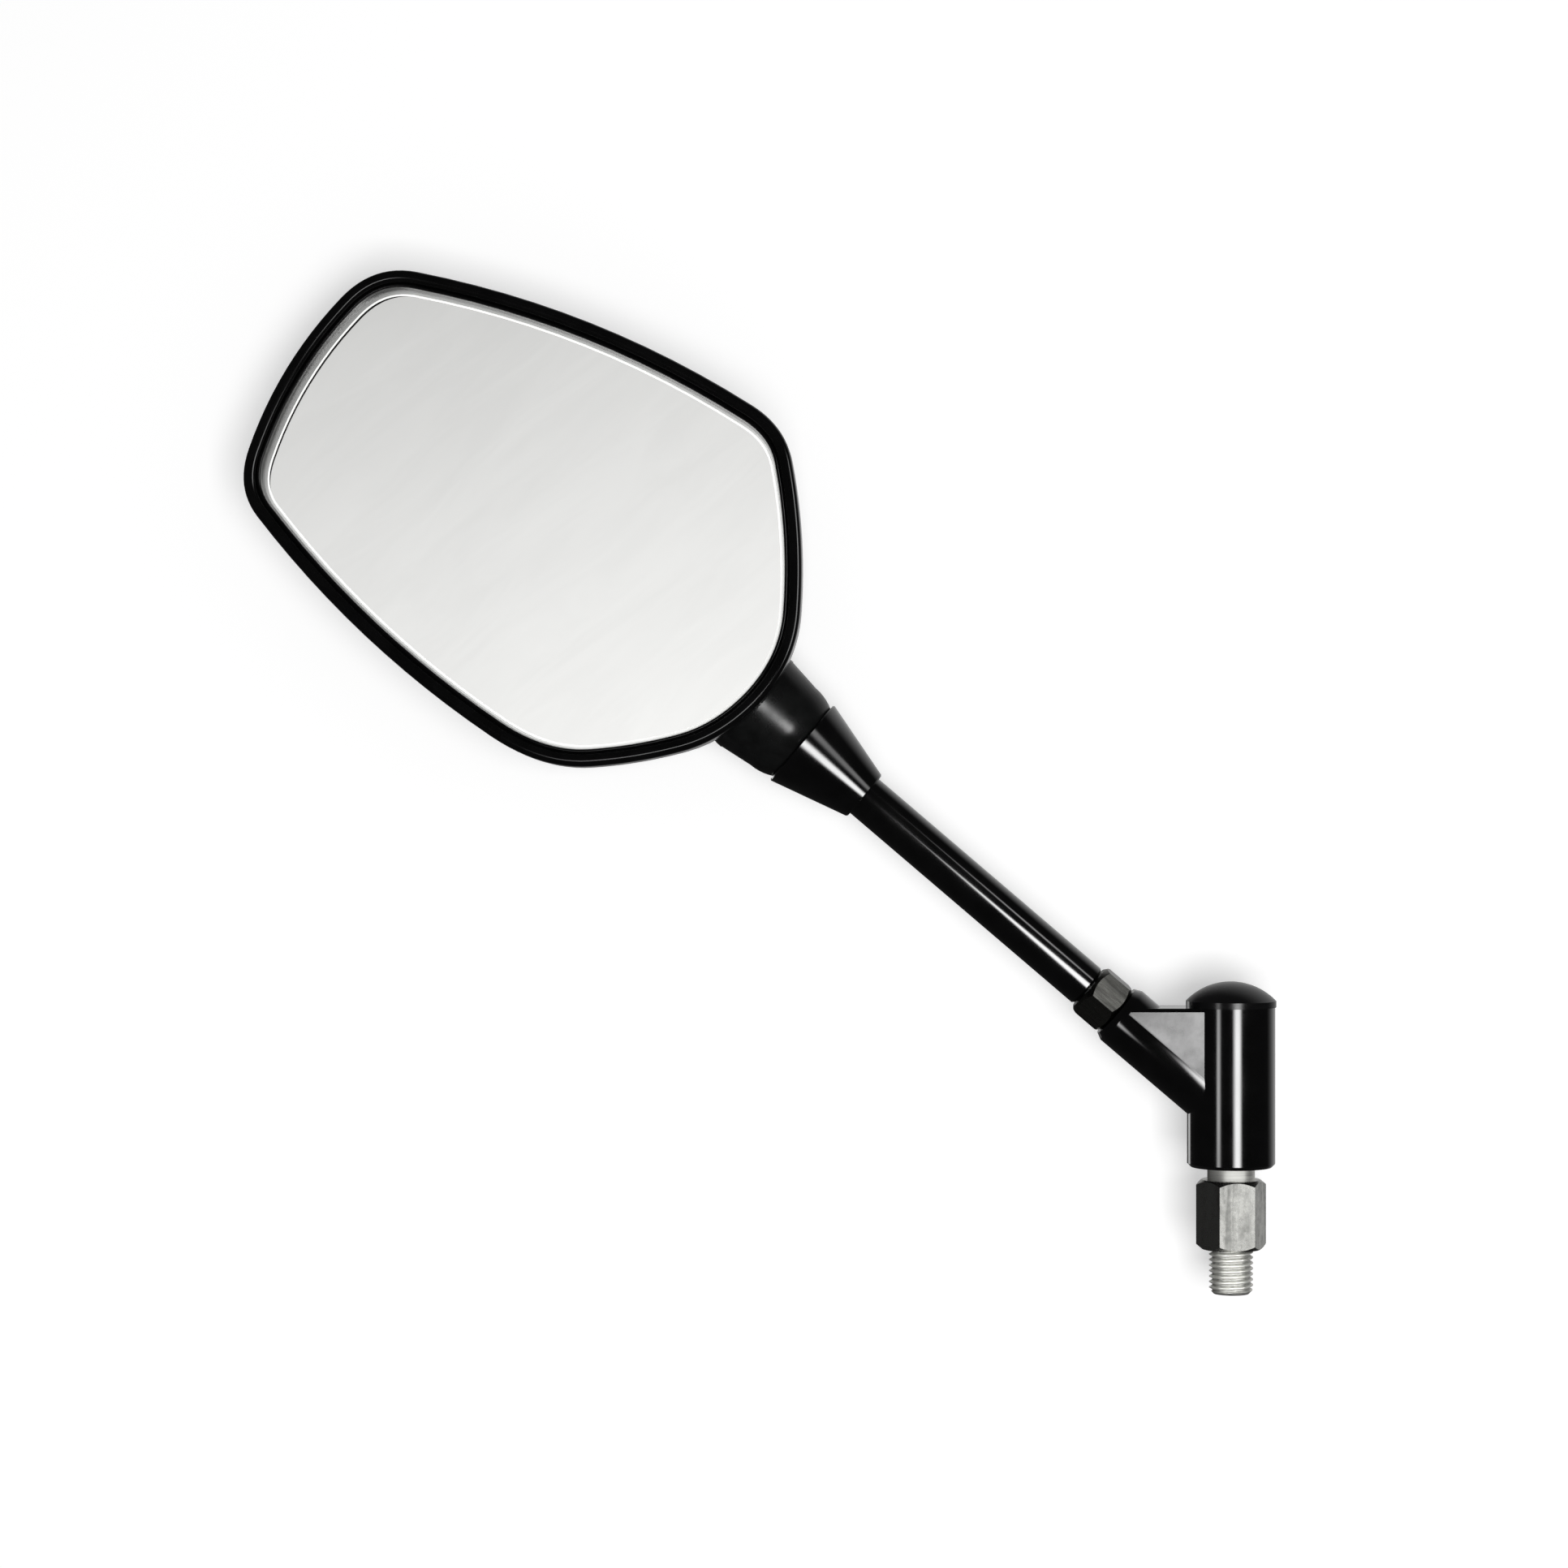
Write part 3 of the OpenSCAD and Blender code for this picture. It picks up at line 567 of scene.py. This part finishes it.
class MirrorSizes(bpy.types.PropertyGroup):
    thread_pitch: length("Thread pitch", "Distance between two turns of the stud thread", 1.25)
    thread_depth: length("Thread depth", "Depth of the stud thread", 0.72)
    outer_bead: length("Outer bead", "Width of the outer bead of the rim", 2.95)
    inner_bead: length("Inner bead", "Width of the inner bead of the rim", 0.9)
    opening_in: length("Opening", "Distance from the outside of the rim to the glass", 4.5)
    ground_edge: length("Ground edge", "Width of the ground edge of the glass", 0.55)
    outline_steps: IntProperty(
        name="Outline steps", description="Points on each side and corner of the rim", default=12, min=4
    )


class MirrorColours(bpy.types.PropertyGroup):
    paint_black: paint("Paint", "Lacquer of the arm and the stem", (0.0016, 0.0016, 0.0017))
    plastic_black: paint("Gloss plastic", "Rim and joint cover", (0.002, 0.002, 0.0021))
    satin_black: paint("Satin plastic", "Housing and neck", (0.009, 0.0093, 0.0093))
    rubber_black: paint("Rubber", "Dome cap", (0.006, 0.006, 0.0063))
    zinc: paint("Zinc", "Plated stud", (0.62, 0.62, 0.59))
    nut_steel: paint("Nut steel", "Blackened lock nut", (0.14, 0.14, 0.13))
    silver: paint("Silver", "Silvering of the glass", (0.9, 0.9, 0.885))


# Operators


class MIRROR_OT_stud(bpy.types.Operator):
    """Cuts the thread on the stud and plates it"""

    bl_idname = "mirror.stud"
    bl_label = "Threaded stud"

    def execute(self, context):
        sizes = context.scene.mirror_sizes
        colours = context.scene.mirror_colours
        low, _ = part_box("pivot_stud")
        body = copy_node("pivot_stud", "stud_body")
        bpy.ops.object.mode_set(mode="EDIT")
        bpy.ops.mesh.select_all(action="SELECT")
        cut = (0, 0, STUD_CUT * MM)
        bpy.ops.mesh.bisect(plane_co=cut, plane_no=(0, 0, 1), use_fill=True, clear_inner=True)
        bpy.ops.object.mode_set(mode="OBJECT")
        shade(body, 25)
        body.data.materials.append(make_zinc(colours.zinc))
        body.data.materials.append(make_turned_zinc_painted_bright(colours.zinc))
        # Faces above the hex take the brighter shoulder zinc, a painted highlight.
        for face in body.data.polygons:
            if face.center.z > (HEX_TOP + SHOULDER_MARGIN) * MM:
                face.material_index = 1
        seat(body, "stud", "pivot_stud")

        crest = STUD_R * MM
        root = crest - sizes.thread_depth
        top = THREAD_INTO_HEX * MM
        bottom = low.z
        rings = []
        for k in range(THREAD_ROWS + 1):
            z = bottom + (top - bottom) * k / THREAD_ROWS
            ring = []
            for i in range(THREAD_AROUND):
                angle = 2 * math.pi * i / THREAD_AROUND
                phase = (z / sizes.thread_pitch - i / THREAD_AROUND) % 1
                deep = min(1, max(0, abs(phase - 0.5) * 2 * FLANK_STEEPNESS - CREST_FLAT))
                r = crest - sizes.thread_depth * deep
                r = min(r, crest - TIP_BEVEL * MM + (z - bottom))
                ring.append(Vector((r * math.cos(angle), r * math.sin(angle), z)))
            rings.append(ring)
        thread = skin_rings("stud_thread", rings)
        shade(thread, 35)
        thread.data.materials.append(make_thread_steel(colours.zinc, root, crest))
        seat(thread, "stud", "pivot_stud")
        return {"FINISHED"}


class MIRROR_OT_arm(bpy.types.Operator):
    """Finishes the cast arm, the stem, the lock nut and the dome cap"""

    bl_idname = "mirror.arm"
    bl_label = "Arm and stem"

    def execute(self, context):
        colours = context.scene.mirror_colours
        lacquer = make_gloss_paint(colours.paint_black)
        finish_node("stem", lacquer)
        casting = copy_node("base_arm", "arm_casting")
        shade(casting, 32)
        casting.data.materials.append(lacquer)
        casting.data.materials.append(make_web_paint(colours.paint_black))
        for face in casting.data.polygons:
            if abs(face.normal.y) > 0.9999 and abs(abs(face.center.y) - WEB_HALF * MM) < WEB_SKIN * MM:
                face.material_index = 1
        seat(casting, "arm", "base_arm")
        finish_node("lock_nut", make_dark_steel(colours.nut_steel))
        finish_node("dome_cap", make_rubber(colours.rubber_black))
        return {"FINISHED"}


class MIRROR_OT_pivot_stack(bpy.types.Operator):
    """Finishes the washers, bushes and nut inside the arm"""

    bl_idname = "mirror.pivot_stack"
    bl_label = "Pivot stack"

    def execute(self, context):
        bronze = make_plain("bronze", (0.6, 0.46, 0.24), 0.3, 1.0)
        steel = make_plain("bare_steel", (0.5, 0.5, 0.52), 0.35, 1.0)
        plated = make_plain("zinc_inside", (0.72, 0.72, 0.7), 0.3, 1.0)
        for node in ("thrust_washer", "lower_bush", "upper_bush"):
            finish_node(node, bronze)
        for node in ("friction_washer", "disc_springs", "clamp_spring"):
            finish_node(node, steel)
        for node in ("flat_washer", "pivot_nut", "retainer_plate", "retainer_screws"):
            finish_node(node, plated)
        finish_node("locking_ring", make_plain("blue_nylon", (0.1, 0.25, 0.6), 0.4))
        nylon = make_plain("natural_nylon", (0.8, 0.79, 0.72), 0.45)
        finish_node("ball_seat", nylon)
        finish_node("pressure_cup", nylon)
        finish_node("foam_ring", make_plain("black_foam", (0.03, 0.03, 0.03), 0.8, 0.0, 2500))
        return {"FINISHED"}


class MIRROR_OT_housing(bpy.types.Operator):
    """Finishes the housing with its neck, and the joint cover"""

    bl_idname = "mirror.housing"
    bl_label = "Housing and cover"

    def execute(self, context):
        colours = context.scene.mirror_colours
        shell = copy_node("housing", "housing_shell")
        shade(shell, 28)
        shell.data.materials.append(make_satin_plastic(colours.satin_black))
        seat(shell, "head", "housing")
        finish_node("joint_cover", make_gloss_plastic(colours.plastic_black))
        return {"FINISHED"}


def bead_points(start, width, rise, steps):
    """Inset and height over a rounded bead, from its inner foot to its outer foot."""
    middle = start + width / 2
    foot = RIM_FRONT - OUTER_RISE
    turns = [math.pi * k / steps for k in range(steps + 1)]
    return [(middle + width / 2 * math.cos(a), foot + rise * math.sin(a) ** BEAD_FULLNESS) for a in turns]


class MIRROR_OT_rim(bpy.types.Operator):
    """Sweeps the double-beaded trim round the rim"""

    bl_idname = "mirror.rim"
    bl_label = "Rim trim"

    def execute(self, context):
        sizes = context.scene.mirror_sizes
        points, inward = rim_outline(sizes.outline_steps)
        opening = sizes.opening_in / MM
        outer = sizes.outer_bead / MM
        inner = sizes.inner_bead / MM

        def section(i):
            def glass_at(d):
                return glass_front(points[i] + d * inward[i])

            floor = GLASS_T + FOAM_T
            foot = [(across, TRIM_FOOT + up) for across, up in FOOT_ROUND]
            skirt = [(SKIRT_IN, TRIM_FOOT), (SKIRT_IN, LIP_TOP), (WALL_IN, LIP_TOP)]
            leg = [(WALL_IN, glass_at(WALL_IN) - floor), (opening, glass_at(opening) - floor)]
            wall_top = (outer + GROOVE + inner + WALL_INSIDE, RIM_FRONT - WALL_DROP)
            wall = [(opening, glass_at(opening)), wall_top]
            narrow = bead_points(outer + GROOVE, inner, INNER_RISE, INNER_STEPS)
            wide = bead_points(0, outer, OUTER_RISE, OUTER_STEPS)
            flank = [(0.0, RIM_FRONT - FLANK_DROP)] + foot[:-1]
            return foot[-1:] + skirt + leg + wall + narrow + wide + flank

        sections = [section(i) for i in range(len(points))]
        rings = []
        for row in zip(*sections):
            placed = zip(points, inward, row)
            rings.append([in_head(point + across * into, up) for point, into, (across, up) in placed])
        trim = skin_rings("rim_beads", rings, closed=True)
        shade(trim, 40)
        trim.data.materials.append(make_gloss_plastic(context.scene.mirror_colours.plastic_black))
        seat(trim, "head", "rim_trim")
        return {"FINISHED"}


class MIRROR_OT_glass(bpy.types.Operator):
    """Makes the convex glass with its ground edge and silvers it"""

    bl_idname = "mirror.glass"
    bl_label = "Convex glass"

    def execute(self, context):
        sizes = context.scene.mirror_sizes
        points, inward = rim_outline(sizes.outline_steps)
        opening = sizes.opening_in / MM
        width = sizes.ground_edge / MM

        def edge(d):
            return [p + d * v for p, v in zip(points, inward)]

        def towards_centre(ring, share, depth):
            placed = [GLASS_CENTRE + share * (p - GLASS_CENTRE) for p in ring]
            return [in_head(p, glass_front(p) - depth) for p in placed]

        front = edge(opening + width)
        shares = [INNERMOST] + [k / GLASS_RINGS for k in range(1, GLASS_RINGS + 1)]
        rings = [towards_centre(front, share, 0) for share in shares]
        outside = edge(opening + RUN_GAP)
        rings.append(towards_centre(outside, 1, EDGE_DROP))
        rings += [towards_centre(outside, share, GLASS_T) for share in BACK_SHARES]
        glass = skin_rings("convex_glass", rings)
        mesh = glass.data
        shade(glass, 2)
        middle = MM * (HEAD @ Vector((GLASS_CENTRE.x, GLASS_R - GLASS_CROWN, GLASS_CENTRE.y)))
        facing = HEAD.to_3x3() @ Vector((0, -1, 0))
        mesh.materials.append(make_mirror(context.scene.mirror_colours.silver))
        mesh.materials.append(make_ground_edge_painted_glow())
        normals = [corner.vector.copy() for corner in mesh.corner_normals]
        for face in mesh.polygons:
            out = (face.center - middle).length
            if face.normal.dot(facing) > FRONT_FACING and out > (GLASS_R - FRONT_SKIN) * MM:
                for corner in face.loop_indices:
                    vertex = mesh.vertices[mesh.loops[corner].vertex_index]
                    normals[corner] = (vertex.co - middle).normalized()
            else:
                face.material_index = 1
        mesh.normals_split_custom_set(normals)
        seat(glass, "head", "mirror_glass")
        return {"FINISHED"}


def soft_card(name, place, size, strength, soft, receivers, tilt=(0.0, 0.0)):
    """A glowing card, upright, with soft edges, that shows only in reflections of its receivers."""
    clear_selection()
    bpy.ops.mesh.primitive_plane_add(size=1, location=place, rotation=UPRIGHT)
    card = bpy.context.object
    card.name = name
    card.scale = (*size, 1)
    material = bpy.data.materials.new(name)
    net = Nodes(material)
    split = net.add("ShaderNodeSeparateXYZ", {"Vector": net.add("ShaderNodeTexCoord").outputs["Object"]})
    level = 1.0
    for axis, slant in zip("XY", tilt):
        across = split.outputs[axis]
        fade = net.smooth(net.maths("ABSOLUTE", across), 0.5, 0.5 - soft)
        lean = net.maths("MULTIPLY_ADD", across, slant, 1.0)
        level = net.maths("MULTIPLY", net.maths("MULTIPLY", level, fade), lean)
    level = net.maths("MULTIPLY", level, strength)
    glow = net.add("ShaderNodeEmission", {"Strength": level}).outputs["Emission"]
    clear = net.add("ShaderNodeBsdfTransparent").outputs["BSDF"]
    both = net.add("ShaderNodeAddShader", {0: glow, 1: clear}).outputs["Shader"]
    net.add("ShaderNodeOutputMaterial", {"Surface": both})
    card.data.materials.append(material)
    card.visible_camera = False
    card.visible_diffuse = False
    card.visible_shadow = False
    card.light_linking.receiver_collection = receivers


def make_backdrop_material():
    """Pale board: it keeps the soft shadow, shows near white to the camera, and is clear from behind."""
    material = bpy.data.materials.new("pale_board")
    net = Nodes(material)
    board = net.add("ShaderNodeBsdfDiffuse", {"Color": (0.8, 0.8, 0.8, 1)}).outputs["BSDF"]
    glow = net.add("ShaderNodeEmission", {"Strength": BOARD_GLOW}).outputs["Emission"]
    both = net.add("ShaderNodeAddShader", {0: board, 1: glow}).outputs["Shader"]
    clear = net.add("ShaderNodeBsdfTransparent").outputs["BSDF"]
    behind = net.add("ShaderNodeNewGeometry").outputs["Backfacing"]
    shown = net.add("ShaderNodeMixShader", {"Fac": behind, 1: both, 2: clear}).outputs["Shader"]
    net.add("ShaderNodeOutputMaterial", {"Surface": shown})
    return material


def make_world():
    """White to the camera; in reflections pale behind and above, dark in front; a plain fill elsewhere."""
    world = bpy.data.worlds.new("studio")
    bpy.context.scene.world = world
    net = Nodes(world)
    ray = net.add("ShaderNodeLightPath").outputs
    view = net.add("ShaderNodeTexCoord").outputs["Generated"]
    towards = net.add("ShaderNodeVectorMath", {0: view, 1: PALE_SIDE}, operation="DOT_PRODUCT")
    behind = net.smooth(towards.outputs["Value"], 0.55, 1.0, 0.02, 0.55)
    glossy = net.add("ShaderNodeMix", {"Factor": ray["Is Glossy Ray"], "A": FILL, "B": behind})
    seen = {"Factor": ray["Is Camera Ray"], "A": glossy.outputs["Result"], "B": 1.0}
    level = net.add("ShaderNodeMix", seen).outputs["Result"]
    sky = net.add("ShaderNodeBackground", {"Color": (1, 1, 1, 1), "Strength": level})
    net.add("ShaderNodeOutputWorld", {"Surface": sky.outputs["Background"]})


def light_group(name, *pieces):
    """A collection of the pieces that a card lights."""
    made = bpy.data.collections.new(name)
    bpy.context.scene.collection.children.link(made)
    for piece in pieces:
        made.objects.link(bpy.data.objects[piece])
    return made


class MIRROR_OT_stage(bpy.types.Operator):
    """Sets the pale board, the lamps, the cards and the camera"""

    bl_idname = "mirror.stage"
    bl_label = "Stage"

    def execute(self, context):
        clear_selection()
        back = CAD_BOX[1][1] + BOARD_GAP
        bpy.ops.mesh.primitive_plane_add(size=BOARD_SIZE, location=(-0.1, back, 0.1), rotation=UPRIGHT)
        board = bpy.context.object
        board.name = "pale_board"
        board.data.materials.append(make_backdrop_material())
        board.visible_glossy = False
        board.visible_diffuse = False
        board.visible_transmission = False
        board.visible_shadow = False
        make_world()

        for name, azimuth, elevation, size, power in LAMPS:
            a, e = math.radians(azimuth), math.radians(elevation)
            out = Vector((math.sin(a) * math.cos(e), -math.cos(a) * math.cos(e), math.sin(e)))
            bpy.ops.object.light_add(type="AREA", location=STAGE_CENTRE + LAMP_REACH * out)
            lamp = bpy.context.object
            lamp.name = name
            lamp.data.shape = "SQUARE"
            lamp.data.size = size
            lamp.data.energy = power
            lamp.rotation_mode = "QUATERNION"
            lamp.rotation_quaternion = out.to_track_quat("Z", "Y")
            lamp.visible_glossy = False

        casting = light_group("lit_casting", "arm_casting", "dome_cap")
        stem = light_group("lit_stem", "stem")
        cover = light_group("lit_cover", "joint_cover")
        shell = light_group("lit_shell", "housing_shell")
        metal = light_group("lit_metal", "stud_body", "lock_nut")
        thread = light_group("lit_thread", "stud_thread")
        arm = light_group("lit_arm", "arm_casting", "dome_cap", "stem", "joint_cover", "rim_beads")
        silver = light_group("lit_silver", "convex_glass")
        trim = light_group("lit_trim", "rim_beads")
        soft_card("card_casting", (0.047, -0.28, 0.01), (0.14, 0.2), 11.5, 0.42, casting)
        soft_card("card_casting_left", (-0.235, -0.283, 0.006), (0.13, 0.16), 4.5, 0.45, casting)
        soft_card("card_stem", (0.0475, -0.286, 0.0225), (0.205, 0.205), 13, 0.2, stem)
        soft_card("card_stem_above", (0.175, -0.289, 0.27), (0.1, 0.14), 3, 0.4, stem)
        soft_card("card_cover", (0.043, -0.292, -0.003), (0.12, 0.13), 15, 0.35, cover)
        soft_card("card_cover_right", (0.215, -0.295, 0.15), (0.19, 0.19), 2.3, 0.4, cover)
        soft_card("card_shell", (-0.035, -0.298, 0.095), (0.13, 0.13), 22, 0.4, shell)
        soft_card("card_trim", (0.95, -1.0, 0.25), (0.8, 1.1), 3.0, 0.25, trim)
        soft_card("card_trim_low", (-0.05, -1.05, -0.15), (1.0, 0.22), 3.0, 0.3, trim)
        soft_card("card_metal", (2.2, -3.0, 0.1), (10.5, 8), 0.88, 0.1, metal)
        soft_card("card_thread", (0.45, -3.1, 0.1), (14, 8), 2.4, 0.1, thread)
        soft_card("card_mirror", (-0.6, -3.2, 0.63), (3.7, 3.7), 0.48, 0.1, silver, (0.66, -1.95))
        soft_card("card_surround", (0, -4.5, 0), (30, 30), 0.4, 0.05, silver)
        soft_card("card_back_shell", (-1.2, 2.0, 1.2), (1.8, 1.8), 5, 0.4, shell)
        soft_card("card_back_arm", (-1.3, 2.1, 0.3), (1.2, 2.4), 1.6, 0.4, arm)

        bpy.ops.object.camera_add(location=CAMERA_PLACE, rotation=UPRIGHT)
        camera = bpy.context.object
        camera.data.sensor_width = CAMERA_SENSOR
        camera.data.lens = CAMERA_LENS
        context.scene.camera = camera
        context.scene.view_settings.view_transform = "Standard"
        return {"FINISHED"}


class MIRROR_PT_panel(bpy.types.Panel):
    """Shows the sizes, the colours and the operators in the sidebar"""

    bl_idname = "MIRROR_PT_panel"
    bl_label = "Mirror"
    bl_space_type = "VIEW_3D"
    bl_region_type = "UI"
    bl_category = "Mirror"

    def draw(self, context):
        for group in (context.scene.mirror_sizes, context.scene.mirror_colours):
            for name in group.__annotations__:
                self.layout.prop(group, name)
        for operator in OPERATORS:
            self.layout.operator(operator.bl_idname)


OPERATORS = (
    MIRROR_OT_stud,
    MIRROR_OT_arm,
    MIRROR_OT_pivot_stack,
    MIRROR_OT_housing,
    MIRROR_OT_rim,
    MIRROR_OT_glass,
    MIRROR_OT_stage,
)
CLASSES = (MirrorSizes, MirrorColours, *OPERATORS, MIRROR_PT_panel)


def register():
    for cls in CLASSES:
        bpy.utils.register_class(cls)
    bpy.types.Scene.mirror_sizes = PointerProperty(type=MirrorSizes)
    bpy.types.Scene.mirror_colours = PointerProperty(type=MirrorColours)


def unregister():
    del bpy.types.Scene.mirror_colours
    del bpy.types.Scene.mirror_sizes
    for cls in reversed(CLASSES):
        bpy.utils.unregister_class(cls)


def main():
    register()
    bpy.ops.mirror.stud()
    bpy.ops.mirror.arm()
    bpy.ops.mirror.pivot_stack()
    bpy.ops.mirror.housing()
    bpy.ops.mirror.rim()
    bpy.ops.mirror.glass()
    bpy.ops.mirror.stage()


if __name__ == "__main__":
    main()
